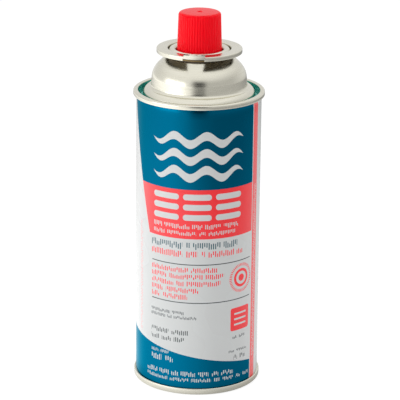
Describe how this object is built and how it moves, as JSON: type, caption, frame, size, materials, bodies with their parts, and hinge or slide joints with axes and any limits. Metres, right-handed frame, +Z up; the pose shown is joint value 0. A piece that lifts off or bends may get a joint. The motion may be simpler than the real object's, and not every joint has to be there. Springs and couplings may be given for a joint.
{
  "type": "fuel canister",
  "caption": "Tall round tinplate gas canister with double seams, a domed shoulder, a notched collar round a press valve and a fluted push-on cap.",
  "frame": {"origin": "centre of the foot ring, on the surface that the canister stands on", "axes": "+Z up along the canister's axis; -Y is the printed front, and the collar's notch looks towards it, 8 degrees towards -X"},
  "size_m": [0.0686, 0.0686, 0.1992],
  "materials": {
    "printed_tinplate": "gloss",
    "bare_tinplate": "satin",
    "black_rubber": "matte",
    "pale_plastic": "satin",
    "spring_steel": "satin",
    "red_plastic": "satin"
  },
  "bodies": {
    "canister": {"can": "printed_tinplate", "valve_cup": "bare_tinplate", "cup_gasket": "black_rubber", "collar": "bare_tinplate", "stem_gasket": "black_rubber", "valve_housing": "pale_plastic", "valve_spring": "spring_steel", "dip_tube": "pale_plastic"},
    "push_cap": {"cap": "red_plastic"},
    "stem": {"valve_stem": "pale_plastic"}
  },
  "joints": [
    {"name": "cap_lift", "type": "slide", "parent": "canister", "child": "push_cap", "axis": [0, 0, 1], "range_m": [0, 0.03]},
    {"name": "stem_press", "type": "slide", "parent": "canister", "child": "stem", "axis": [0, 0, 1], "range_m": [-0.002, 0], "stiffness_N_per_m": 60, "deforming": ["valve_spring"]}
  ]
}
